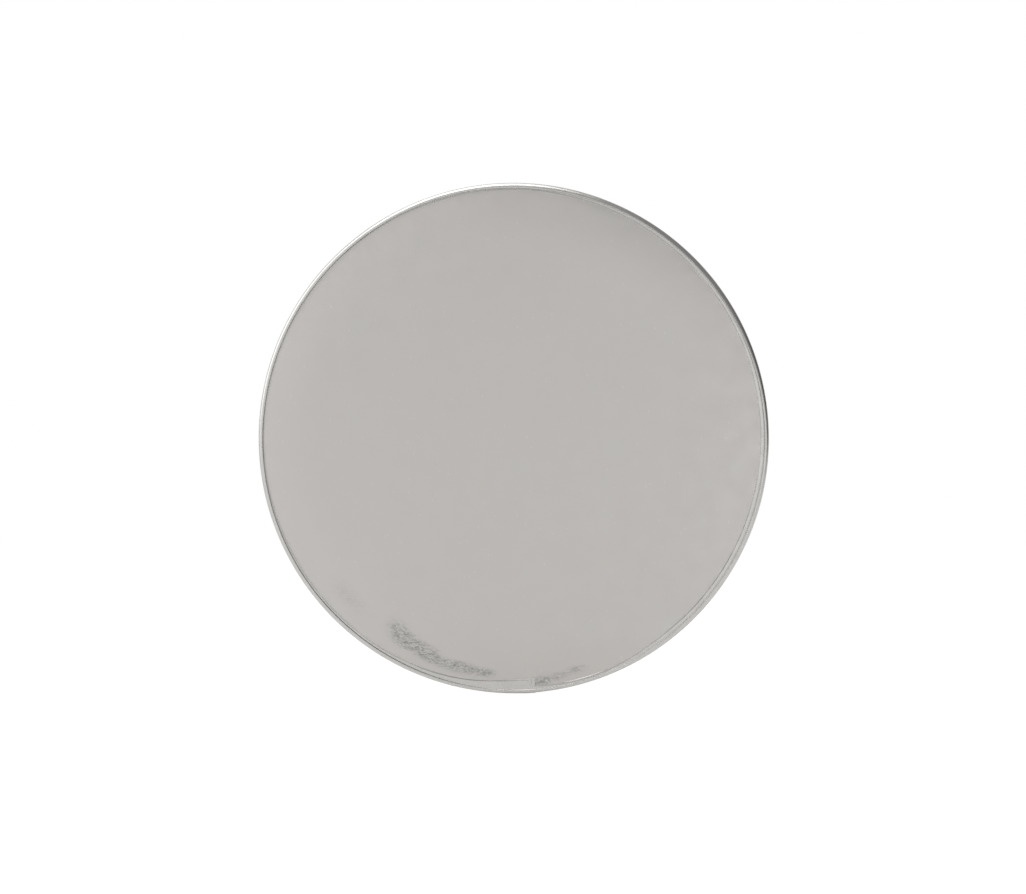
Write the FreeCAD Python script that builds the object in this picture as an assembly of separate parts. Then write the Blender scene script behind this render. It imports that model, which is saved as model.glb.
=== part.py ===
import FreeCAD, Part
import math
import os

from FreeCAD import Vector

# Collapsible reflector disc: two coated fabrics back to back, held tight by a flat
# spring-steel hoop in a rolled tape hem. The disc stands upright in the XZ plane, centred
# on the origin: the silver side faces -Y, the white side +Y. Millimetres.
# Everything that is one piece round the disc is parted at the fold plane X = 0.

# the whole disc
disc_diameter = 560.0
rim_radius = disc_diameter / 2
fold_gap = 0.2                  # between the two halves of a parted piece

# the two fabrics, back to back
fabric_thickness = 0.4
fabric_gap = 0.1
fabric_radius = 273.6           # the cut edge, inside the hem
fabric_face = fabric_gap / 2 + fabric_thickness

# the tape that is rolled round the hoop, as a section of radius against Y
tape_thickness = 0.4
tape_clearance = 0.05           # between the fabrics and the tape's legs
roll_half_width = 4.0           # the flat sides of the roll stand this far from the mid plane
roll_corner = 3.0
roll_inner_radius = 275.2       # where the roll's flat side begins
leg_outer_radius = 272.8        # where the two legs part from the fabrics
leg_inner_radius = 269.2
leg_face = fabric_face + tape_clearance + tape_thickness

# the lap, where one end of the tape passes over the other at the bottom
lap_clearance = 0.05
lap_start = 3.0                 # in X, from the fold plane
lap_end = 24.0
lap_leg_inner_radius = 264.6

# the seam: needle thread on the silver side, bobbin thread on the white side
thread_diameter = 0.3
seam_radius = 270.8
tack_count = 5                  # stitches across the lap's folded end, on each side
tack_length = 2.2
tack_spacing = 1.2
tack_inset = 3.0                # from the lap's end
tack_edge = 1.0                 # from the inner edge of the lap's leg

# the flat hoop
band_outer_radius = 278.3
band_thickness = 0.8
band_width = 4.0
band_end_gap = 1.0

# the joint in the hoop, at the left: sleeve, flush rivets and shrink wrap
joint_clearance = 0.03
sleeve_wall = 0.25
sleeve_length = 60.0
wrap_wall = 0.2
wrap_length = 78.0
rivet_radius = 1.0
rivet_recess = 0.01             # the rivets stop this far short of the sleeve's faces
rivet_places = (-21.0, -9.0, 9.0, 21.0)     # along the hoop, from the band's two ends

# the blank woven label, on the white side, with its outer end against the seam
label_length = 34.0
label_width = 20.0
label_thickness = 0.25
label_clearance = 0.05          # off the white fabric
label_end_gap = 0.6             # to the tape's leg
label_angle = 32.0              # below the right-hand side, in degrees

reach = 2 * rim_radius          # longer than anything it has to cut


def ring(section):
    """A closed section of radius against Y, turned once round the disc's axis."""
    return Part.Face(section).revolve(Vector(0, 0, 0), Vector(0, 1, 0), 360)


def block(x_low, x_high, z_low, z_high):
    """A box through the whole thickness of the disc."""
    corner = Vector(x_low, -reach, z_low)
    return Part.makeBox(x_high - x_low, 2 * reach, z_high - z_low, corner)


def left_of_fold(shape):
    return shape.common(block(-reach, -fold_gap / 2, -reach, reach))


def right_of_fold(shape):
    return shape.common(block(fold_gap / 2, reach, -reach, reach))


def rectangle(radius_low, radius_high, y_low, y_high):
    corners = [
        Vector(radius_low, y_low, 0),
        Vector(radius_high, y_low, 0),
        Vector(radius_high, y_high, 0),
        Vector(radius_low, y_high, 0),
    ]
    return Part.makePolygon(corners + corners[:1])


def hem_side(offset, leg_end, side):
    """One side of the hem's outline, from the leg's end to the corner at the rim.

    offset is the distance outwards from the tape's outer face; side is 1 or -1 along Y.
    """
    rise = roll_half_width - leg_face
    slope = math.atan2(rise, roll_inner_radius - leg_outer_radius)
    mitre = offset * math.tan(slope / 2)
    face = side * (leg_face + offset)
    flat = side * (roll_half_width + offset)
    corner_y = side * (roll_half_width - roll_corner)
    corner_radius = rim_radius - roll_corner
    bend = (roll_corner + offset) * math.sqrt(0.5)
    points = [
        Vector(leg_end, face, 0),
        Vector(leg_outer_radius - mitre, face, 0),
        Vector(roll_inner_radius - mitre, flat, 0),
        Vector(corner_radius, flat, 0),
    ]
    corner = Part.Arc(
        points[-1],
        Vector(corner_radius + bend, corner_y + side * bend, 0),
        Vector(rim_radius + offset, corner_y, 0),
    )
    lines = [Part.makeLine(a, b) for a, b in zip(points, points[1:])]
    return lines + [corner.toShape()]


def hem_outline(inner_offset, outer_offset, leg_end):
    """The closed section of a layer that is rolled round the rim."""
    edges = []
    for offset in (inner_offset, outer_offset):
        edges += hem_side(offset, leg_end, 1) + hem_side(offset, leg_end, -1)
        corner_y = roll_half_width - roll_corner
        radius = rim_radius + offset
        edges.append(Part.makeLine(Vector(radius, -corner_y, 0), Vector(radius, corner_y, 0)))
    for side in (1, -1):
        inner = Vector(leg_end, side * (leg_face + inner_offset), 0)
        outer = Vector(leg_end, side * (leg_face + outer_offset), 0)
        edges.append(Part.makeLine(inner, outer))
    return Part.Wire(Part.__sortEdges__(edges))


def fabric_disc(y_low):
    return Part.makeCylinder(fabric_radius, fabric_thickness, Vector(0, y_low, 0), Vector(0, 1, 0))


def silver_face():
    return fabric_disc(-fabric_face)


def white_back():
    return fabric_disc(fabric_gap / 2)


def rim_tape():
    return ring(hem_outline(-tape_thickness, 0, leg_inner_radius))


def rim_tape_lap():
    """The tape's folded end, over the tape's other end, just right of the lowest point."""
    layer = hem_outline(lap_clearance, lap_clearance + tape_thickness, lap_leg_inner_radius)
    return ring(layer).common(block(lap_start, lap_end, -reach, 0))


def seam(side):
    """A row of thread on the tape's leg; it is hidden where the lap covers it."""
    low, high = sorted((side * leg_face, side * (leg_face + thread_diameter)))
    half = thread_diameter / 2
    row = ring(rectangle(seam_radius - half, seam_radius + half, low, high))
    return row.cut(block(lap_start - half, lap_end + half, -reach, 0))


def lap_tack_stitching():
    """A short bar of stitches across the lap's folded end, on both sides of the disc."""
    lap_face = leg_face + lap_clearance + tape_thickness
    tack_end = lap_end - tack_inset
    stitches = []
    for side in (1, -1):
        low, high = sorted((side * lap_face, side * (lap_face + thread_diameter)))
        for place in range(tack_count):
            radius = lap_leg_inner_radius + tack_edge + place * tack_spacing
            row = ring(rectangle(radius, radius + thread_diameter, low, high))
            stitches.append(row.common(block(tack_end - tack_length, tack_end, -reach, 0)))
    return Part.makeCompound(stitches)


def layer_round_band(clearance, wall):
    """The inner and outer outlines of a flat tube round the hoop band."""
    outlines = []
    for grow in (clearance, clearance + wall):
        low = band_outer_radius - band_thickness - grow
        half = band_width / 2 + grow
        outlines.append(rectangle(low, band_outer_radius + grow, -half, half))
    return outlines


def flat_tube(clearance, wall, length):
    """A flat tube of the given length round the hoop, centred on the joint at the left."""
    inner, outer = layer_round_band(clearance, wall)
    tube = ring(outer).cut(ring(inner))
    return tube.common(block(-reach, 0, -length / 2, length / 2))


def rivet_row(radius, low, high):
    """Radial pins through the joint, from one distance off the disc's axis to another."""
    pins = []
    for place in rivet_places:
        angle = math.pi + place / band_outer_radius
        outwards = Vector(math.cos(angle), 0, math.sin(angle))
        pins.append(Part.makeCylinder(radius, high - low, outwards * low, outwards))
    return Part.makeCompound(pins)


def rivet_holes():
    return rivet_row(rivet_radius + joint_clearance, leg_outer_radius, rim_radius)


def hoop_band():
    """The spring-steel hoop, with its two ends facing each other inside the sleeve."""
    low = band_outer_radius - band_thickness
    band = ring(rectangle(low, band_outer_radius, -band_width / 2, band_width / 2))
    ends = block(-reach, 0, -band_end_gap / 2, band_end_gap / 2)
    return band.cut(ends).cut(rivet_holes())


def hoop_joint_sleeve():
    return flat_tube(joint_clearance, sleeve_wall, sleeve_length).cut(rivet_holes())


def hoop_joint_rivets():
    grow = joint_clearance + sleeve_wall - rivet_recess
    low = band_outer_radius - band_thickness - grow
    return rivet_row(rivet_radius, low, band_outer_radius + grow)


def hoop_joint_wrap():
    return flat_tube(2 * joint_clearance + sleeve_wall, wrap_wall, wrap_length)


def care_label():
    """A flat tab, drawn along +X and turned down to its place beside the seam."""
    inner_end = leg_inner_radius - label_end_gap - label_length
    corner = Vector(inner_end, fabric_face + label_clearance, -label_width / 2)
    tab = Part.makeBox(label_length, label_thickness, label_width, corner)
    tab.rotate(Vector(0, 0, 0), Vector(0, 1, 0), label_angle)
    return tab


nodes = {
    "hoop_joint_sleeve": hoop_joint_sleeve(),
    "hoop_joint_rivets": hoop_joint_rivets(),
    "hoop_joint_wrap": hoop_joint_wrap(),
    "rim_tape_lap": rim_tape_lap(),
    "lap_tack_stitching": lap_tack_stitching(),
    "care_label": care_label(),
}
parted = {
    "hoop_band": hoop_band(),
    "silver_face": silver_face(),
    "white_back": white_back(),
    "rim_tape": rim_tape(),
    "face_stitching": seam(-1),
    "back_stitching": seam(1),
}
for name, shape in parted.items():
    nodes[name + "_left"] = left_of_fold(shape)
    nodes[name + "_right"] = right_of_fold(shape)

os.makedirs("parts", exist_ok=True)
for name, shape in nodes.items():
    if not shape.isValid():
        raise ValueError(name + " is not a valid shape")
    shape.exportStep("parts/" + name + ".step")
    print(name, len(shape.Solids), "solids", round(shape.Volume, 1), "mm3")
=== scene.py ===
import math

import bmesh
import bpy
from mathutils import Matrix, Vector, noise


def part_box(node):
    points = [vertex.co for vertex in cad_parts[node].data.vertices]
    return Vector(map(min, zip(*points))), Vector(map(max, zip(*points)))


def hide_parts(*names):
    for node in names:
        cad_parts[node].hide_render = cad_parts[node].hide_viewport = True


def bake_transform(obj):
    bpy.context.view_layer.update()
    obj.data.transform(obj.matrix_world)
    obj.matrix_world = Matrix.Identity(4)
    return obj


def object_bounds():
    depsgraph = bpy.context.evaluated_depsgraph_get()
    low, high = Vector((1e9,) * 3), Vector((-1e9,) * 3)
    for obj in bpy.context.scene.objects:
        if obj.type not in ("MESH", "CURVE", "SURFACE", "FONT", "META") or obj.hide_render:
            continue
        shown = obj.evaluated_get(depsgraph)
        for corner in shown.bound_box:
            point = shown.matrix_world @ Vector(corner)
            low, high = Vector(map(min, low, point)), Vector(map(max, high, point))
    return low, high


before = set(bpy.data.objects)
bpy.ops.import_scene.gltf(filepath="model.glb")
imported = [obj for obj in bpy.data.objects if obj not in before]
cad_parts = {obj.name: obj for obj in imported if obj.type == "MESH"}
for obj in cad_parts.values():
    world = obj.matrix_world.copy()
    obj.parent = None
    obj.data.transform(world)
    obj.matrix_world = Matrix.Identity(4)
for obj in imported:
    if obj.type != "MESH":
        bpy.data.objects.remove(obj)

# A pop-open reflector disc: silver cloth and white cloth back to back, a rolled silver
# tape round a sprung hoop, and a lockstitch seam just inside the roll.
# The silver side faces -Y. A place round the rim is its clock angle: degrees clockwise
# from the right-hand side, as seen from the silver side.

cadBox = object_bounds()
rimRadius = cadBox[1].x
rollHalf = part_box("rim_tape_left")[1].y              # half the roll's thickness
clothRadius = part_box("silver_face_right")[1].x
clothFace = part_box("white_back_left")[1].y           # the cloths' outer sides, off the mid plane
tapeWall = 0.0004
tapeGap = 0.00005                                    # between the cloths and the tape's legs
legFace = clothFace + tapeGap + tapeWall
sectors = 12                                         # a full spin is made of this many parts


def place(clock, radius, y=0.0):
    turned = math.radians(clock)
    return Vector((radius * math.cos(turned), y, -radius * math.sin(turned)))


def clockOf(point):
    return math.degrees(math.atan2(-point.z, point.x)) % 360


def smooth(value):                                   # 0 to 1 with level ends
    value = min(max(value, 0.0), 1.0)
    return value * value * (3 - 2 * value)


def swell(clock, centre, reach):                     # 1 at the centre, 0 beyond the reach
    off = abs((clock - centre + 180) % 360 - 180)
    return smooth(1 - off / reach)


def finishPiece(bm, name, uvOf=None):
    if uvOf:
        layer = bm.loops.layers.uv.new("cloth")
        for face in bm.faces:
            for loop in face.loops:
                loop[layer].uv = uvOf(loop.vert.co, face)
    for face in bm.faces:
        face.smooth = True
    for edge in bm.edges:
        edge.smooth = not edge.is_boundary           # a cut edge stays crisp
    mesh = bpy.data.meshes.new(name)
    bm.to_mesh(mesh)
    bm.free()
    piece = bpy.data.objects.new(name, mesh)
    bpy.context.scene.collection.objects.link(piece)
    return piece


def dress(piece, material):
    piece.data.materials.clear()
    piece.data.materials.append(material)


def bendWithFold(piece):
    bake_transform(piece)


def giveWall(piece, wall):                           # thickness, inwards from the modelled side
    solid = piece.modifiers.new("wall", "SOLIDIFY")
    solid.thickness = wall
    solid.offset = -1


def spinPart(bm, geometry, angle, steps, copies=False):
    return bmesh.ops.spin(bm, geom=geometry, cent=(0, 0, 0), axis=(0, 1, 0), angle=angle,
                          steps=steps, use_duplicate=copies)


def spinFull(bm, geometry, steps, copies=False):
    # one sector is spun and then repeated, which is far quicker than one long spin
    own = steps // sectors
    turn = math.tau / sectors
    if copies:
        spinPart(bm, geometry, turn * (own - 1) / own, own - 1, True)
    else:
        spinPart(bm, geometry, turn, own)
    sector = bm.verts[:] + bm.edges[:] + bm.faces[:]
    spinPart(bm, sector, math.tau - turn, sectors - 1, True)
    bmesh.ops.remove_doubles(bm, verts=bm.verts, dist=1e-6)


def spunGrid(radii, steps):
    # a flat ring of faces between the first and the last radius
    bm = bmesh.new()
    verts = [bm.verts.new((radius, 0, 0)) for radius in radii]
    edges = [bm.edges.new(pair) for pair in zip(verts, verts[1:])]
    spinFull(bm, verts + edges, steps)
    return bm


def loopAt(bm, radius):
    return [e for e in bm.edges
            if all(abs(math.hypot(v.co.x, v.co.z) - radius) < 1e-6 for v in e.verts)]


def evenSteps(low, high, pitch):
    count = max(1, round((high - low) / pitch))
    return [low + (high - low) * i / count for i in range(count + 1)]


def newMaterial(name, color, roughness, metallic=0.0):
    material = bpy.data.materials.new(name)
    material.use_nodes = True
    nodes, links = material.node_tree.nodes, material.node_tree.links
    shader = nodes["Principled BSDF"]
    shader.inputs["Base Color"].default_value = (*color, 1)
    shader.inputs["Roughness"].default_value = roughness
    shader.inputs["Metallic"].default_value = metallic
    return material, nodes, links, shader


def clothCoords(nodes, links, scale=(1, 1, 1), turn=0.0):
    uv = nodes.new("ShaderNodeUVMap")
    uv.uv_map = "cloth"
    mapping = nodes.new("ShaderNodeMapping")
    mapping.inputs["Scale"].default_value = scale
    mapping.inputs["Rotation"].default_value = (0, 0, turn)
    links.new(uv.outputs["UV"], mapping.inputs["Vector"])
    return mapping.outputs["Vector"]


def objectCoords(nodes):
    return nodes.new("ShaderNodeTexCoord").outputs["Object"]


def attributeOf(nodes, name):
    node = nodes.new("ShaderNodeAttribute")
    node.attribute_name = name
    return node.outputs["Fac"]


def noiseAt(nodes, links, vector, scale, detail=3.0, distortion=0.0):
    texture = nodes.new("ShaderNodeTexNoise")
    texture.inputs["Scale"].default_value = scale
    texture.inputs["Detail"].default_value = detail
    texture.inputs["Distortion"].default_value = distortion
    links.new(vector, texture.inputs["Vector"])
    return texture.outputs["Fac"]


def cellsAt(nodes, links, vector, scale):
    texture = nodes.new("ShaderNodeTexVoronoi")
    texture.inputs["Scale"].default_value = scale
    links.new(vector, texture.inputs["Vector"])
    return texture.outputs["Distance"]


def wavesAt(nodes, links, vector, scale, direction, distortion=0.0):
    texture = nodes.new("ShaderNodeTexWave")
    texture.bands_direction = direction
    texture.inputs["Scale"].default_value = scale
    texture.inputs["Distortion"].default_value = distortion
    links.new(vector, texture.inputs["Vector"])
    return texture.outputs["Fac"]


def calc(nodes, links, operation, first, second):
    node = nodes.new("ShaderNodeMath")
    node.operation = operation
    for socket, value in zip(node.inputs, (first, second)):
        if isinstance(value, (int, float)):
            socket.default_value = value
        else:
            links.new(value, socket)
    return node.outputs[0]


def rampTo(nodes, links, value, low, high, fromLow=0.0, fromHigh=1.0):
    node = nodes.new("ShaderNodeMapRange")
    ends = {"From Min": fromLow, "From Max": fromHigh, "To Min": low, "To Max": high}
    for name, number in ends.items():
        node.inputs[name].default_value = number
    links.new(value, node.inputs["Value"])
    return node.outputs["Result"]


def mixColors(nodes, links, factor, first, second):
    node = nodes.new("ShaderNodeMix")
    node.data_type = "RGBA"
    links.new(factor, node.inputs["Factor"])
    for name, color in (("A", first), ("B", second)):
        socket = next(s for s in node.inputs if s.name == name and s.type == "RGBA")
        if isinstance(color, tuple):
            socket.default_value = (*color, 1)
        else:
            links.new(color, socket)
    return next(s for s in node.outputs if s.type == "RGBA")


def addBump(nodes, links, shader, layers):
    # layers are (height, distance in metres), from the broadest to the finest
    normal = None
    for height, distance in layers:
        bump = nodes.new("ShaderNodeBump")
        bump.inputs["Distance"].default_value = distance
        links.new(height, bump.inputs["Height"])
        if normal:
            links.new(normal, bump.inputs["Normal"])
        normal = bump.outputs["Normal"]
    links.new(normal, shader.inputs["Normal"])


silverLook = {
    "light": (0.605, 0.578, 0.556),
    "tint": (0.597, 0.585, 0.562),                   # a faint cool cast in broad patches
    "dark": (0.594, 0.572, 0.553),
    "fleck": (0.680, 0.665, 0.650),                  # tiny bright spots in the film
    "crease": (0.310, 0.318, 0.300),                 # painted shade along the creases of the crumpled patches
    "creaseShade": 0.16,                             # between their creases
    "roughness": (0.31, 0.37),
    "pebble": 0.00002,                               # bump heights, in metres
    "weave": 0.000003,
    "crush": 0.00016,
}


def silverLaminate():
    look = silverLook
    material, nodes, links, shader = newMaterial("silverLaminate", look["light"], 0.34, 1.0)
    vector = clothCoords(nodes, links)
    mottle = noiseAt(nodes, links, vector, 45.0, 5.0)
    broad = noiseAt(nodes, links, vector, 13.0, 2.0)
    color = mixColors(nodes, links, rampTo(nodes, links, broad, 0.0, 1.0, 0.4, 0.7),
                      look["light"], look["tint"])
    color = mixColors(nodes, links, rampTo(nodes, links, mottle, 0.0, 1.0, 0.3, 0.7),
                      color, look["dark"])
    spots = cellsAt(nodes, links, clothCoords(nodes, links, (1, 0.45, 1), 0.5), 150.0)
    color = mixColors(nodes, links, rampTo(nodes, links, spots, 1.0, 0.0, 0.04, 0.09),
                      color, look["fleck"])
    # painted shade: the crumpled patches are darkened, most along their creases and less between them
    amount = attributeOf(nodes, "crumple")
    strokes = clothCoords(nodes, links, (0.35, 1, 1), math.radians(22))
    scribble = noiseAt(nodes, links, strokes, 330.0, 2.5, 1.2)
    scribble = calc(nodes, links, "ABSOLUTE", calc(nodes, links, "SUBTRACT", scribble, 0.5), 0)
    scribble = rampTo(nodes, links, scribble, 1.0, look["creaseShade"], 0.01, 0.07)
    creases = calc(nodes, links, "MULTIPLY", amount, scribble)
    links.new(mixColors(nodes, links, creases, color, look["crease"]), shader.inputs["Base Color"])
    links.new(rampTo(nodes, links, mottle, *look["roughness"], 0.3, 0.7), shader.inputs["Roughness"])
    pebble = noiseAt(nodes, links, vector, 600.0, 3.0)
    weave = calc(nodes, links, "ADD", wavesAt(nodes, links, vector, 900.0, "X"),
                 wavesAt(nodes, links, vector, 900.0, "Y"))
    addBump(nodes, links, shader, [(creases, -look["crush"]), (pebble, look["pebble"]),
                                   (weave, look["weave"])])
    return material


tapeLook = {
    "light": (0.645, 0.630, 0.610),
    "dark": (0.612, 0.602, 0.583),
    "soilAndShade": (0.330, 0.335, 0.320),                   # painted shade along the seam
    "seamShadeWidth": (0.0003, 0.0009),                   # full and none, from the seam line
    "roughness": (0.24, 0.29),
    "pucker": 0.000010,                              # bump heights, in metres
    "pebble": 0.0000015,
    "weave": 0.0000008,
}


def silverTape():
    look = tapeLook
    material, nodes, links, shader = newMaterial("silverTape", look["light"], 0.25, 1.0)
    vector = clothCoords(nodes, links)
    scuff = noiseAt(nodes, links, vector, 60.0, 1.5)
    color = mixColors(nodes, links, rampTo(nodes, links, scuff, 0.0, 1.0, 0.35, 0.7),
                      look["light"], look["dark"])
    # painted shade: a dark line along the seam and another in the roll's crease
    seamGap = calc(nodes, links, "ABSOLUTE", attributeOf(nodes, "fromSeam"), 0)
    seamGap = rampTo(nodes, links, seamGap, 1.0, 0.0, *look["seamShadeWidth"])
    shadeBreakup = rampTo(nodes, links, noiseAt(nodes, links, vector, 35.0, 2.0), 0.4, 1.0, 0.35, 0.55)
    paintedShade = calc(nodes, links, "MULTIPLY", attributeOf(nodes, "soilAndShade"), shadeBreakup)
    paintedShade = calc(nodes, links, "MULTIPLY", paintedShade, seamGap)
    paintedShade = calc(nodes, links, "MAXIMUM", paintedShade, attributeOf(nodes, "footShade"))
    links.new(mixColors(nodes, links, paintedShade, color, look["soilAndShade"]), shader.inputs["Base Color"])
    links.new(rampTo(nodes, links, scuff, *look["roughness"], 0.3, 0.7), shader.inputs["Roughness"])
    pucker = noiseAt(nodes, links, clothCoords(nodes, links, (1, 0.25, 1)), 160.0, 2.0)
    pebble = noiseAt(nodes, links, vector, 900.0, 2.0)
    weave = calc(nodes, links, "ADD", wavesAt(nodes, links, vector, 1100.0, "X"),
                 wavesAt(nodes, links, vector, 1100.0, "Y"))
    addBump(nodes, links, shader, [(pucker, look["pucker"]), (pebble, look["pebble"]),
                                   (weave, look["weave"])])
    return material


def whiteNylon():
    material, nodes, links, shader = newMaterial("whiteNylon", (0.86, 0.86, 0.85), 0.7)
    vector = clothCoords(nodes, links)
    warp = wavesAt(nodes, links, vector, 560.0, "X", 0.4)
    weft = wavesAt(nodes, links, vector, 560.0, "Y", 0.4)
    weave = calc(nodes, links, "MAXIMUM", warp, weft)
    soilAndShade = noiseAt(nodes, links, vector, 9.0, 4.0)
    tone = calc(nodes, links, "MULTIPLY", rampTo(nodes, links, soilAndShade, 0.0, 0.5, 0.4, 0.75),
                rampTo(nodes, links, weave, 0.6, 1.0))
    links.new(mixColors(nodes, links, tone, (0.87, 0.87, 0.86), (0.78, 0.77, 0.74)),
              shader.inputs["Base Color"])
    links.new(rampTo(nodes, links, weave, 0.78, 0.62), shader.inputs["Roughness"])
    shader.inputs["Sheen Weight"].default_value = 0.15
    addBump(nodes, links, shader, [(noiseAt(nodes, links, vector, 55.0, 3.0), 0.0004),
                                   (weave, 0.00004)])
    return material


def sewingThread(name, color):
    material, nodes, links, shader = newMaterial(name, color, 0.6)
    vector = objectCoords(nodes)
    twist = wavesAt(nodes, links, vector, 2600.0, "DIAGONAL", 1.0)
    darker = tuple(0.6 * part for part in color)
    links.new(mixColors(nodes, links, twist, darker, color), shader.inputs["Base Color"])
    links.new(rampTo(nodes, links, twist, 0.7, 0.5), shader.inputs["Roughness"])
    addBump(nodes, links, shader, [(twist, 0.00004)])
    return material


def labelSatin():
    material, nodes, links, shader = newMaterial("labelSatin", (0.66, 0.65, 0.62), 0.45)
    vector = clothCoords(nodes, links)
    rows = wavesAt(nodes, links, vector, 190.0, "X", 0.6)
    floats = noiseAt(nodes, links, clothCoords(nodes, links, (1, 0.15, 1)), 2400.0, 2.0)
    links.new(mixColors(nodes, links, rows, (0.58, 0.57, 0.545), (0.70, 0.69, 0.66)),
              shader.inputs["Base Color"])
    links.new(rampTo(nodes, links, floats, 0.36, 0.58), shader.inputs["Roughness"])
    shader.inputs["Sheen Weight"].default_value = 0.2
    addBump(nodes, links, shader, [(floats, 0.00004), (rows, 0.00005)])
    return material


def springSteel():
    material, nodes, links, shader = newMaterial("springSteel", (0.42, 0.43, 0.45), 0.3, 1.0)
    streaks = noiseAt(nodes, links, clothCoords(nodes, links, (3, 900, 1)), 2.0, 4.0)
    blotch = noiseAt(nodes, links, clothCoords(nodes, links), 45.0, 3.0)
    tone = calc(nodes, links, "MULTIPLY", streaks, blotch)
    links.new(mixColors(nodes, links, rampTo(nodes, links, tone, 0.0, 1.0, 0.1, 0.45),
                        (0.30, 0.31, 0.34), (0.50, 0.51, 0.52)), shader.inputs["Base Color"])
    links.new(rampTo(nodes, links, streaks, 0.2, 0.42), shader.inputs["Roughness"])
    addBump(nodes, links, shader, [(streaks, 0.00001)])
    return material


def zincPlate():
    material, nodes, links, shader = newMaterial("zincPlate", (0.62, 0.62, 0.60), 0.35, 1.0)
    vector = objectCoords(nodes)
    spangle = cellsAt(nodes, links, vector, 420.0)
    wear = noiseAt(nodes, links, vector, 260.0, 5.0)
    links.new(mixColors(nodes, links, spangle, (0.55, 0.56, 0.55), (0.70, 0.69, 0.64)),
              shader.inputs["Base Color"])
    links.new(rampTo(nodes, links, wear, 0.25, 0.5, 0.3, 0.7), shader.inputs["Roughness"])
    addBump(nodes, links, shader, [(wear, 0.00001)])
    return material


def rivetAluminium():
    material, nodes, links, shader = newMaterial("rivetAluminium", (0.76, 0.76, 0.77), 0.3, 1.0)
    vector = objectCoords(nodes)
    marks = noiseAt(nodes, links, vector, 1500.0, 4.0)
    links.new(mixColors(nodes, links, marks, (0.66, 0.66, 0.67), (0.80, 0.80, 0.81)),
              shader.inputs["Base Color"])
    links.new(rampTo(nodes, links, marks, 0.22, 0.45, 0.3, 0.7), shader.inputs["Roughness"])
    addBump(nodes, links, shader, [(marks, 0.00001)])
    return material


def shrinkWrap():
    material, nodes, links, shader = newMaterial("shrinkWrap", (0.03, 0.03, 0.032), 0.45)
    vector = objectCoords(nodes)
    ripple = noiseAt(nodes, links, vector, 300.0, 3.0)
    links.new(mixColors(nodes, links, ripple, (0.022, 0.022, 0.024), (0.045, 0.045, 0.047)),
              shader.inputs["Base Color"])
    links.new(rampTo(nodes, links, ripple, 0.38, 0.55, 0.3, 0.7), shader.inputs["Roughness"])
    addBump(nodes, links, shader, [(ripple, 0.00005)])
    return material


# the hem round the rim, as radii: the leg that is sewn down, and the roll round the hoop
hem = {
    "legEnd": 0.2706,                                # inner edge of the leg
    "seamIn": 0.0009,                                # the seam, outwards from that edge
    "seamToFoot": 0.0001,                            # and at least this far inside the foot
    "foot": 0.2748,                                  # where the roll starts to rise
    "crest": 0.2751,
    "lean": 0.4,                                     # how much the roll falls outwards, at the most
    "lapWide": 0.0066,                               # how much wider the leg is beside the lap
    "lapFrom": 86.0,                                 # clock angles of that wide stretch
    "lapTo": 122.0,
}


def legEndAt(clock):
    wide = 0.0
    if hem["lapFrom"] < clock < hem["lapTo"]:
        along = (clock - hem["lapFrom"]) / (hem["lapTo"] - hem["lapFrom"])
        wide = hem["lapWide"] * (1 - smooth(along)) ** 3 * smooth((clock - hem["lapFrom"]) / 0.8)
    broad = 0.0010 * swell(clock, 25, 60) + 0.0006 * swell(clock, 105, 20)
    slim = 0.0036 * swell(clock, 73, 22) + 0.0028 * swell(clock, 200, 130)
    wander = 0.0003 * noise.noise(Vector((clock * 0.11, 3.1, 0)))
    return hem["legEnd"] - wide - broad + slim + wander


def footAt(clock):
    outward = 0.0015 * swell(clock, 85, 50) + 0.0006 * swell(clock, 155, 50)
    return hem["foot"] + outward - 0.0012 * swell(clock, 276, 26) - 0.0004 * swell(clock, 320, 40)


def seamAt(clock):                                   # on the left it runs in the roll's crease
    inFrom = hem["seamIn"] + 0.0007 * swell(clock, 200, 120)
    return min(legEndAt(clock) + inFrom, footAt(clock) - hem["seamToFoot"])


def wave(point):                                     # the slow unevenness that both cloths share
    return 0.0003 * noise.noise(Vector((point.x * 9, 1.7, point.z * 9)))


def clothSurface(shape, side, relief, point):
    inside = max(seamAt(clockOf(point)) - math.hypot(point.x, point.z), 0)
    pillow = shape["pillow"] * (1 - (1 - min(inside / shape["pillowEdge"], 1)) ** 2)
    hold = smooth(inside / shape["seamHold"])
    return wave(point) * hold + side * (clothFace + pillow + relief(point, inside) * hold)


def cloth(shape, side, relief, refine=None):
    bm = spunGrid(shape["innerRadii"], shape["innerSteps"])
    outerRing = spunGrid(shape["outerRadii"], shape["outerSteps"])
    ringMesh = bpy.data.meshes.new("outerRing")
    outerRing.to_mesh(ringMesh)
    outerRing.free()
    bm.from_mesh(ringMesh)
    bpy.data.meshes.remove(ringMesh)
    seamLoops = loopAt(bm, shape["innerRadii"][-1]) + loopAt(bm, shape["outerRadii"][0])
    bmesh.ops.bridge_loops(bm, edges=seamLoops)
    bmesh.ops.contextual_create(bm, geom=loopAt(bm, shape["innerRadii"][0]))
    bmesh.ops.poke(bm, faces=[f for f in bm.faces if len(f.verts) > 4])
    if refine:
        refine(bm)
    bmesh.ops.recalc_face_normals(bm, faces=bm.faces)
    if bm.faces[0].normal.y * side < 0:
        bmesh.ops.reverse_faces(bm, faces=bm.faces)
    for vert in bm.verts:
        vert.co.y = clothSurface(shape, side, relief, vert.co)
    return bm


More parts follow.
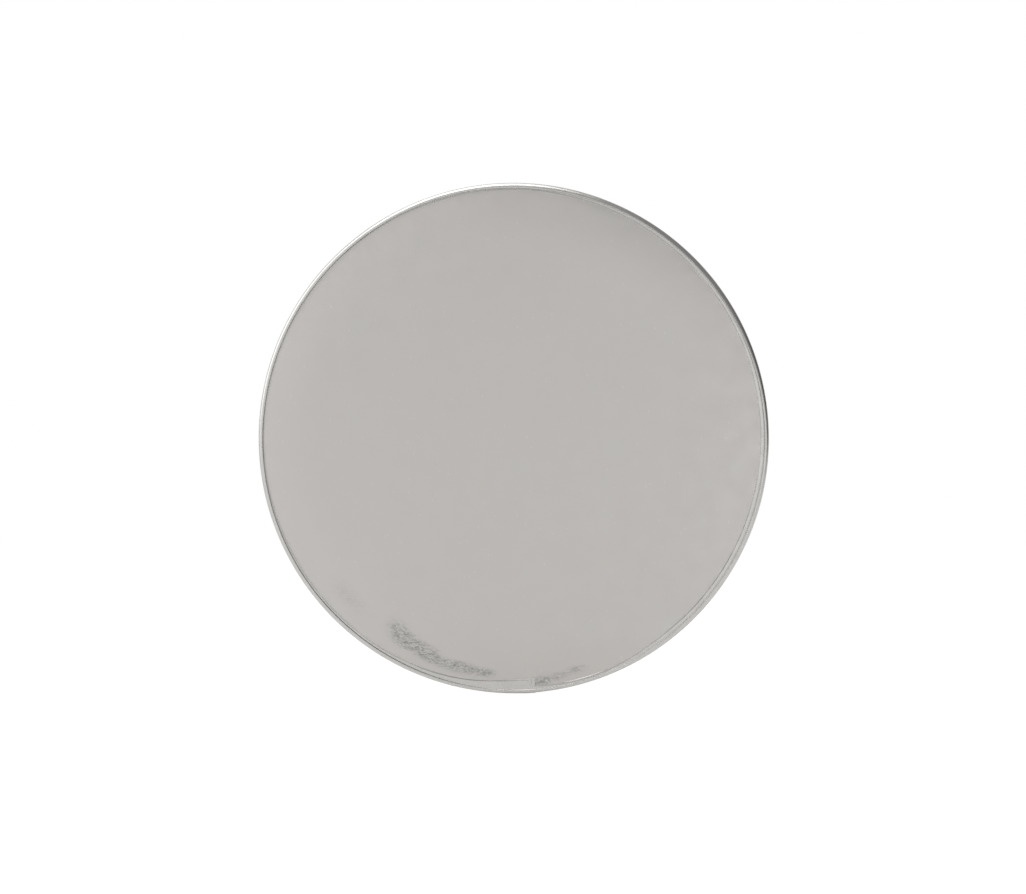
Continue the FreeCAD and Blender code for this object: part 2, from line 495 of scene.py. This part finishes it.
silverCloth = {
    "innerRadii": evenSteps(0.004, 0.230, 0.011),
    "innerSteps": 240,
    "outerRadii": evenSteps(0.232, clothRadius, 0.0022),
    "outerSteps": 840,
    "wall": 0.0003,
    "pillow": 0.0015,                                # how far the middle stands out from the seam
    "pillowEdge": 0.060,                             # the slope down to the seam is this wide
    "seamHold": 0.004,                               # flat where the seam holds it
    "tension": 0.00006,                              # small gathers along the whole seam
    "gather": 0.00045,                               # the crumpled patches
    "gatherRadius": 0.228,                           # nothing is crumpled inside this
    "refineRounds": 2,                               # how often the crumpled mesh is divided
    "refineFrom": 0.2,
}
# crumpled patches beside the hem: clock angle and its reach, radius and its reach, strength
gathers = [
    (121.5, 4.5, 0.2450, 0.014, 0.7),
    (118.5, 6, 0.2510, 0.014, 1.0),
    (113.5, 6, 0.2530, 0.012, 1.4),
    (109, 6, 0.2585, 0.009, 1.0),
    (103, 5, 0.2580, 0.009, 1.3),
    (98, 5, 0.2590, 0.007, 1.3),
    (84, 3.5, 0.2690, 0.010, 1.3),
    (80, 4, 0.2660, 0.007, 0.8),
    (75, 4, 0.2630, 0.006, 0.7),
    (136, 9, 0.2520, 0.014, 0.25),
]


def gatherAmount(point):
    clock, radius = clockOf(point), math.hypot(point.x, point.z)
    if radius < silverCloth["gatherRadius"]:
        return 0.0
    total = 0.0
    for centre, reach, ringRadius, ringReach, strength in gathers:
        ring = smooth(1 - abs(radius - ringRadius) / ringReach)
        total += strength * swell(clock, centre, reach) * ring
    return min(total, 1.0)


def ridges(point):
    return 1 - 2 * abs(noise.noise(point))


def silverRelief(point, inside):                     # metres out from the silver side
    clock, radius = clockOf(point), math.hypot(point.x, point.z)
    along = math.radians(clock) * rimRadius
    nearSeam = smooth(1 - inside / 0.022)
    uneven = 0.5 + 0.5 * noise.noise(Vector((along * 12, 0, 9.0)))
    pull = noise.noise(Vector((along * 110, radius * 18, 5.0)))
    rise = silverCloth["tension"] * nearSeam * pull * (0.4 + 1.6 * uneven)
    amount = gatherAmount(point)
    if amount > 0:
        crumple = ridges(Vector((along * 130, radius * 420, 2.0)))
        crumple += 0.5 * ridges(Vector((along * 300 + radius * 260, radius * 520, 7.0)))
        rise += silverCloth["gather"] * amount * crumple
    return rise


def refineGathers(bm):
    for _ in range(silverCloth["refineRounds"]):
        crumpled = [e for e in bm.edges
                    if sum(gatherAmount(v.co) for v in e.verts) > silverCloth["refineFrom"]]
        bmesh.ops.subdivide_edges(bm, edges=crumpled, cuts=1, use_grid_fill=True)


def makeSilverFace():
    bm = cloth(silverCloth, -1, silverRelief, refineGathers)
    crumple = bm.verts.layers.float.new("crumple")
    for vert in bm.verts:
        vert[crumple] = gatherAmount(vert.co)
    return finishPiece(bm, "silver_face", lambda co, face: (co.x, co.z))


silverFace = makeSilverFace()
giveWall(silverFace, silverCloth["wall"])
dress(silverFace, silverLaminate())
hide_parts("silver_face_left", "silver_face_right")
bendWithFold(silverFace)
print("silver face", len(silverFace.data.polygons))

whiteCloth = {
    "innerRadii": evenSteps(0.004, 0.228, 0.014),
    "innerSteps": 180,
    "outerRadii": evenSteps(0.232, clothRadius, 0.0035),
    "outerSteps": 480,
    "wall": 0.0003,
    "pillow": 0.0008,
    "pillowEdge": 0.030,
    "seamHold": 0.004,
    "tension": 0.0002,
}


def whiteRelief(point, inside):
    clock, radius = clockOf(point), math.hypot(point.x, point.z)
    along = math.radians(clock) * rimRadius
    nearSeam = smooth(1 - inside / 0.03)
    return whiteCloth["tension"] * nearSeam * noise.noise(Vector((along * 70, radius * 14, 3.0)))


whiteBack = finishPiece(cloth(whiteCloth, 1, whiteRelief), "white_back",
                        lambda co, face: (co.x, co.z))
giveWall(whiteBack, whiteCloth["wall"])
dress(whiteBack, whiteNylon())
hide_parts("white_back_left", "white_back_right")
bendWithFold(whiteBack)
print("white back", len(whiteBack.data.polygons))


tapeShape = {
    "steps": 1020,
    "cornerRound": 0.0038,
    "crestRound": 0.0003,
    "footRound": 0.0002,
    "lumps": 0.00005,                                # unevenness of the roll
    "legSupport": 0.0004,                            # a point before the foot keeps the leg flat
    "footShade": 0.75,                                # painted shade: the dark line in the roll's crease
    "footShadeAt": 0.0001,                            # outwards from the foot
    "footShadeWidth": 0.0011,
}


def hemSection(bm, grow):
    # half-round outline of the roll, from the silver side's leg to the white side's
    legEnd = hem["legEnd"]
    outline = [(legEnd, legFace + grow), (hem["foot"] - tapeShape["legSupport"], legFace + grow),
               (hem["foot"], legFace + grow), (hem["crest"], rollHalf + grow),
               (rimRadius + grow, rollHalf + grow)]
    points = [(r, -y) for r, y in outline] + [(r, y) for r, y in reversed(outline)]
    verts = [bm.verts.new((r, y, 0)) for r, y in points]
    bm.faces.new(verts)
    rounds = [(2, tapeShape["footRound"], 3), (3, tapeShape["crestRound"], 3),
              (4, tapeShape["cornerRound"], 9)]
    for index, size, segments in rounds:
        bmesh.ops.bevel(bm, geom=[verts[index], verts[-1 - index]], offset=size, segments=segments,
                        profile=0.5, affect="VERTICES", material=-1)
    bmesh.ops.delete(bm, geom=bm.faces[:], context="FACES_ONLY")
    closing = [e for e in bm.edges if all(abs(v.co.x - legEnd) < 1e-7 for v in e.verts)]
    bmesh.ops.delete(bm, geom=closing, context="EDGES")
    legs = [e for e in bm.edges if min(v.co.x for v in e.verts) < legEnd + 1e-6]
    bmesh.ops.subdivide_edges(bm, edges=legs, cuts=3)
    return bm.verts[:] + bm.edges[:]


def faceOutwards(bm):
    bmesh.ops.recalc_face_normals(bm, faces=bm.faces)
    outer = max(bm.faces, key=lambda f: f.calc_center_median().length)
    if outer.normal.dot(outer.calc_center_median()) < 0:
        bmesh.ops.reverse_faces(bm, faces=bm.faces)


def shapeHem(bm, legEndOf):
    # the section's radii are moved to what the hem has at each clock angle
    for vert in bm.verts:
        clock, radius = clockOf(vert.co), math.hypot(vert.co.x, vert.co.z)
        foot = footAt(clock)
        if radius < hem["foot"]:
            share = (hem["foot"] - radius) / (hem["foot"] - hem["legEnd"])
            radius = foot - share * (foot - legEndOf(clock))
        else:
            share = (radius - hem["foot"]) / (rimRadius - hem["foot"])
            radius = foot + share * (rimRadius - foot)
            vert.co.y *= 1 - hem["lean"] * swell(clock, 316, 50) * share
        along = math.radians(clock) * rimRadius
        side = math.copysign(1, vert.co.y)
        lump = tapeShape["lumps"] * noise.noise(Vector((along * 45, radius * 60, side)))
        flatPart = smooth((radius - foot) / 0.002) * (1 - smooth((radius - 0.2785) / 0.001))
        vert.co = place(clock, radius, vert.co.y + side * lump * flatPart)


def seamShadeAt(clock):                                   # how dark the painted shade along the seam is
    return min(1.0, 0.35 + 0.65 * swell(clock, 35, 30) + 0.65 * swell(clock, 103, 25))


def hemUv(co, face):
    centre = clockOf(face.calc_center_median())
    clock = clockOf(co)
    clock += 360 * round((centre - clock) / 360)
    radius = math.hypot(co.x, co.z)
    across = (radius - 0.26) if co.y < 0 else (0.30 - radius)
    return math.radians(clock) * rimRadius, across + 0.3 * co.y


def makeTape():
    bm = bmesh.new()
    geometry = hemSection(bm, 0)
    spinFull(bm, geometry, tapeShape["steps"])
    faceOutwards(bm)
    shapeHem(bm, legEndAt)
    fromSeam = bm.verts.layers.float.new("fromSeam")
    soilAndShade = bm.verts.layers.float.new("soilAndShade")
    footShade = bm.verts.layers.float.new("footShade")
    for vert in bm.verts:
        clock, radius = clockOf(vert.co), math.hypot(vert.co.x, vert.co.z)
        # painted shade along the seam, its strength by clock angle
        vert[fromSeam] = radius - seamAt(clock)
        vert[soilAndShade] = seamShadeAt(clock)
        # painted shade in the roll's crease, strongest near clock 20
        fromFoot = abs(radius - footAt(clock) - tapeShape["footShadeAt"])
        line = smooth(1 - fromFoot / tapeShape["footShadeWidth"])
        vert[footShade] = tapeShape["footShade"] * swell(clock, 20, 85) * line
    return finishPiece(bm, "rim_tape", hemUv)


tapeMaterial = silverTape()
rimTape = makeTape()
giveWall(rimTape, tapeWall)
dress(rimTape, tapeMaterial)
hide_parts("rim_tape_left", "rim_tape_right")
bendWithFold(rimTape)
print("rim tape", len(rimTape.data.polygons))


lapShape = {
    "from": 85.1,                                    # clock angle of the folded end
    "to": 89.6,
    "rise": 0.00045,                                 # above the tape below
    "legEnd": 0.2639,
    "steps": 24,
}


def makeLap():
    bm = bmesh.new()
    geometry = hemSection(bm, lapShape["rise"])
    turn = math.radians(lapShape["to"] - lapShape["from"])
    bmesh.ops.rotate(bm, verts=bm.verts, cent=(0, 0, 0),
                     matrix=Matrix.Rotation(math.radians(lapShape["from"]), 3, "Y"))
    spinPart(bm, geometry, turn, lapShape["steps"])
    bmesh.ops.remove_doubles(bm, verts=bm.verts, dist=1e-6)
    faceOutwards(bm)
    shapeHem(bm, lambda clock: lapShape["legEnd"])
    for vert in bm.verts:                            # the far end sinks level with the tape
        clock, radius = clockOf(vert.co), math.hypot(vert.co.x, vert.co.z)
        settle = 0.8 * lapShape["rise"] * smooth((clock - lapShape["from"] - 1.5) / 3.0)
        sunk = settle * smooth((radius - hem["crest"]) / (rimRadius - hem["crest"]))
        vert.co = place(clock, radius - sunk, vert.co.y - math.copysign(settle, vert.co.y))
    return finishPiece(bm, "tape_lap", hemUv)


lap = makeLap()
giveWall(lap, tapeWall)
dress(lap, tapeMaterial)
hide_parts("rim_tape_lap")
bendWithFold(lap)
print("lap", len(lap.data.polygons))


seam = {"count": 660, "length": 0.0021, "width": 0.00050, "height": 0.00022, "radius": 0.2720}


def addStitch(bm, middle, along, up):
    across = up.cross(along).normalized()
    axes = Matrix((along * seam["length"], across * seam["width"], up * seam["height"]))
    made = bmesh.ops.create_uvsphere(bm, u_segments=6, v_segments=4, radius=0.5,
                                     matrix=Matrix.Translation(middle) @ axes.transposed().to_4x4())
    return made["verts"]


def makeSeam(name, side):
    bm = bmesh.new()
    base = side * (legFace + 0.3 * seam["height"])
    addStitch(bm, place(0, seam["radius"], base), Vector((0, 0, 1)), Vector((0, side, 0)))
    spinFull(bm, bm.verts[:] + bm.edges[:] + bm.faces[:], seam["count"], copies=True)
    for vert in bm.verts:
        clock, radius = clockOf(vert.co), math.hypot(vert.co.x, vert.co.z)
        covered = lapShape["from"] - 0.3 < clock < lapShape["to"]
        lift = vert.co.y + side * lapShape["rise"] * covered
        vert.co = place(clock, radius - seam["radius"] + seamAt(clock), lift)
    return finishPiece(bm, name)


greyThread = sewingThread("greyThread", (0.33, 0.34, 0.335))
whiteThread = sewingThread("whiteThread", (0.78, 0.78, 0.77))
faceStitching = makeSeam("face_stitching", -1)
dress(faceStitching, greyThread)
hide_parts("face_stitching_left", "face_stitching_right")
bendWithFold(faceStitching)
backStitching = makeSeam("back_stitching", 1)
dress(backStitching, whiteThread)
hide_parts("back_stitching_left", "back_stitching_right")
bendWithFold(backStitching)
print("stitching", len(faceStitching.data.polygons))

tack = {"clock": 85.9, "rows": 6, "spacing": 0.0011, "edge": 0.0012}


def makeTack():
    bm = bmesh.new()
    for side in (-1, 1):
        up = Vector((0, side, 0))
        lift = side * (legFace + lapShape["rise"] + 0.3 * seam["height"])
        for row in range(tack["rows"]):
            radius = lapShape["legEnd"] + tack["edge"] + row * tack["spacing"]
            middle = place(tack["clock"], radius, lift)
            along = (place(tack["clock"] + 0.2, radius, lift) - middle).normalized()
            addStitch(bm, middle, along, up)
    return finishPiece(bm, "lap_tacks")


lapTack = makeTack()
dress(lapTack, greyThread)
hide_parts("lap_tack_stitching")
bendWithFold(lapTack)


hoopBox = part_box("hoop_band_right")
hoop = {
    "outer": hoopBox[1].x,
    "thick": 0.0008,
    "edgeRound": 0.45,                               # of the thickness
    "half": hoopBox[1].y,
    "endGap": 0.001,
    "steps": 360,
}


def makeHoop():
    bm = bmesh.new()
    low, high, half = hoop["outer"] - hoop["thick"], hoop["outer"], hoop["half"]
    corners = [(low, -half), (high, -half), (high, half), (low, half)]
    verts = [bm.verts.new((r, y, 0)) for r, y in corners]
    bm.faces.new(verts)
    bmesh.ops.bevel(bm, geom=verts, offset=hoop["edgeRound"] * hoop["thick"], segments=3, profile=0.5,
                    affect="VERTICES", material=-1)
    section = bm.faces[:][0]
    gap = hoop["endGap"] / hoop["outer"]
    bmesh.ops.rotate(bm, verts=bm.verts, cent=(0, 0, 0),
                     matrix=Matrix.Rotation(math.pi + gap / 2, 3, "Y"))
    spinPart(bm, [section], math.tau - gap, hoop["steps"])
    bmesh.ops.remove_doubles(bm, verts=bm.verts, dist=1e-7)
    bmesh.ops.recalc_face_normals(bm, faces=bm.faces)
    return finishPiece(bm, "hoop_band",
                       lambda co, face: (math.radians(clockOf(co)) * rimRadius, co.y))


hoopBand = makeHoop()
dress(hoopBand, springSteel())
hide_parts("hoop_band_left", "hoop_band_right")
bendWithFold(hoopBand)
print("hoop", len(hoopBand.data.polygons))

for node, material in (("hoop_joint_sleeve", zincPlate()), ("hoop_joint_rivets", rivetAluminium()),
                       ("hoop_joint_wrap", shrinkWrap())):
    dress(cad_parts[node], material)


label = {
    "clock": 32.0,
    "length": 0.034,
    "width": 0.020,
    "wall": 0.00025,
    "end": 0.2712,                                   # its sewn end, under the tape's leg
    "float": 0.00035,                                # off the white cloth
    "curl": 0.0014,                                  # the free end lifts this much
    "cup": 0.0003,                                   # and its long edges this much
}


def labelUv(co, face):                               # along the label and across it
    turned = math.radians(label["clock"])
    return (co.x * math.cos(turned) - co.z * math.sin(turned),
            co.x * math.sin(turned) + co.z * math.cos(turned))


def makeLabel():
    bm = bmesh.new()
    bmesh.ops.create_grid(bm, x_segments=34, y_segments=20, size=0.5)
    for vert in bm.verts:
        u, v = vert.co.x, vert.co.y
        lift = label["curl"] * smooth((-u - 0.15) / 0.35)
        lift += label["cup"] * (2 * v) ** 2 * smooth(-u + 0.3)
        vert.co = Vector((label["end"] - (0.5 - u) * label["length"], lift, v * label["width"]))
    bmesh.ops.rotate(bm, verts=bm.verts, cent=(0, 0, 0),
                     matrix=Matrix.Rotation(math.radians(label["clock"]), 3, "Y"))
    for vert in bm.verts:
        vert.co.y += label["float"] + clothSurface(whiteCloth, 1, whiteRelief, vert.co)
    bmesh.ops.recalc_face_normals(bm, faces=bm.faces)
    if bm.faces[0].normal.y < 0:
        bmesh.ops.reverse_faces(bm, faces=bm.faces)
    return finishPiece(bm, "woven_label", labelUv)


careLabel = makeLabel()
giveWall(careLabel, label["wall"])
dress(careLabel, labelSatin())
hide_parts("care_label")
bendWithFold(careLabel)
print("label", len(careLabel.data.polygons))


studio = {
    "white": 1.0,                                    # what the camera sees behind the disc
    "sides": 0.66,                                   # brightness all round, apart from the patches
    "floorSeen": 1.12,
    "floorShadow": 0.2,                              # how much of the floor takes shadows
    "floorGlow": 0.15,                               # its own light in reflections
    "floorHalf": 4.0,                                # half the floor's side
    "floorGap": 0.0002,                              # below the disc
    "keyPower": 20,
    "keySize": (2.0, 1.6),
    "keyPlace": (-0.5, -1.2, 2.2),
    "imageWidth": 1026,
    "discWidth": 510.4,                              # the disc's width across that frame
    "lens": 85.0,
    "sensor": 36.0,
    "cameraSide": -0.0009,                           # the camera's offset from the disc's centre
    "cameraDrop": 0.0099,
}
# patches of the surroundings: direction, full and outer half angles, brightness
patches = [
    ((0, -1, 0), 25, 62, 0.86),                      # in front
    ((0.04, -0.99, 0.05), 2, 19, 0.23),              # the dark place where the camera stands
    ((0.46, -0.89, -0.05), 7, 30, 2.80),             # a glow from the right
    ((0.30, -0.88, 0.38), 4, 25, 0.36),              # a dimmer place above it
    ((-0.46, -0.88, 0.12), 6, 32, 1.06),             # and a faint one from the left
    ((0, 1, 0), 35, 75, 1.1),                        # the backdrop
    ((-0.85, -0.35, 0.45), 16, 32, 1.9),             # tall softbox at the upper left
    ((-0.10, -0.25, 0.97), 16, 36, 1.45),            # overhead strip
    ((0.70, -0.46, 0.54), 27, 64, 0.27),             # dark flag at the upper right
    ((0.97, -0.22, 0.12), 15, 30, 0.05),             # and its edge at the right
]

bm = bmesh.new()
bmesh.ops.create_grid(bm, x_segments=1, y_segments=1, size=studio["floorHalf"])
bmesh.ops.translate(bm, verts=bm.verts, vec=(0, 0, cadBox[0].z - studio["floorGap"]))
floorMesh = bpy.data.meshes.new("floor")
bm.to_mesh(floorMesh)
bm.free()
floor = bpy.data.objects.new("floor", floorMesh)
bpy.context.scene.collection.objects.link(floor)
floorMaterial, nodes, links, shader = newMaterial("paleFloor", (0.8, 0.8, 0.8), 0.9)
glow = nodes.new("ShaderNodeEmission")
glow.inputs["Strength"].default_value = studio["floorSeen"]
blendIn = nodes.new("ShaderNodeMixShader")
isSeen = nodes.new("ShaderNodeLightPath").outputs["Is Camera Ray"]
ownLight = rampTo(nodes, links, isSeen, studio["floorGlow"], 1 - studio["floorShadow"])
links.new(ownLight, blendIn.inputs["Fac"])
links.new(shader.outputs["BSDF"], blendIn.inputs[1])
links.new(glow.outputs["Emission"], blendIn.inputs[2])
links.new(blendIn.outputs["Shader"], nodes["Material Output"].inputs["Surface"])
dress(floor, floorMaterial)


def lightPatch(nodes, links, direction, centre, inner, outer):
    # 1 inside a cone about a direction, falling to 0 at its outer half angle
    dot = nodes.new("ShaderNodeVectorMath")
    dot.operation = "DOT_PRODUCT"
    links.new(direction, dot.inputs[0])
    dot.inputs[1].default_value = Vector(centre).normalized()
    ramp = nodes.new("ShaderNodeMapRange")
    ramp.interpolation_type = "SMOOTHSTEP"
    ramp.inputs["From Min"].default_value = math.cos(math.radians(outer))
    ramp.inputs["From Max"].default_value = math.cos(math.radians(inner))
    links.new(dot.outputs["Value"], ramp.inputs["Value"])
    return ramp.outputs["Result"]


def mixLevels(nodes, links, factor, first, second):
    node = nodes.new("ShaderNodeMix")
    node.data_type = "FLOAT"
    links.new(factor, node.inputs[0])
    for socket, value in ((node.inputs[2], first), (node.inputs[3], second)):
        if isinstance(value, (int, float)):
            socket.default_value = value
        else:
            links.new(value, socket)
    return node.outputs[0]


def makeWorld():
    world = bpy.data.worlds.new("studio")
    bpy.context.scene.world = world
    world.use_nodes = True
    nodes, links = world.node_tree.nodes, world.node_tree.links
    direction = nodes.new("ShaderNodeTexCoord").outputs["Generated"]
    level = studio["sides"]
    for centre, inner, outer, brightness in patches:
        inPatch = lightPatch(nodes, links, direction, centre, inner, outer)
        level = mixLevels(nodes, links, inPatch, level, brightness)
    isSeen = nodes.new("ShaderNodeLightPath").outputs["Is Camera Ray"]
    level = mixLevels(nodes, links, isSeen, level, studio["white"])
    links.new(level, nodes["Background"].inputs["Strength"])
    nodes["Background"].inputs["Color"].default_value = (1, 1, 1, 1)


makeWorld()

keyLight = bpy.data.lights.new("overheadSoftbox", "AREA")
keyLight.shape = "RECTANGLE"
keyLight.size, keyLight.size_y = studio["keySize"]
keyLight.energy = studio["keyPower"]
key = bpy.data.objects.new("overheadSoftbox", keyLight)
key.location = studio["keyPlace"]
key.rotation_euler = (-key.location).to_track_quat("-Z", "Y").to_euler()
bpy.context.scene.collection.objects.link(key)

cameraData = bpy.data.cameras.new("camera")
cameraData.lens = studio["lens"]
cameraData.sensor_width = studio["sensor"]
viewWidth = 2 * rimRadius * studio["imageWidth"] / studio["discWidth"]
camera = bpy.data.objects.new("camera", cameraData)
viewDistance = viewWidth * studio["lens"] / studio["sensor"]
camera.location = (studio["cameraSide"], -viewDistance, -studio["cameraDrop"])
camera.rotation_euler = (math.pi / 2, 0, 0)
bpy.context.scene.collection.objects.link(camera)
bpy.context.scene.camera = camera
bpy.context.scene.view_settings.view_transform = "Standard"
print("studio ready")

bpy.context.view_layer.update()
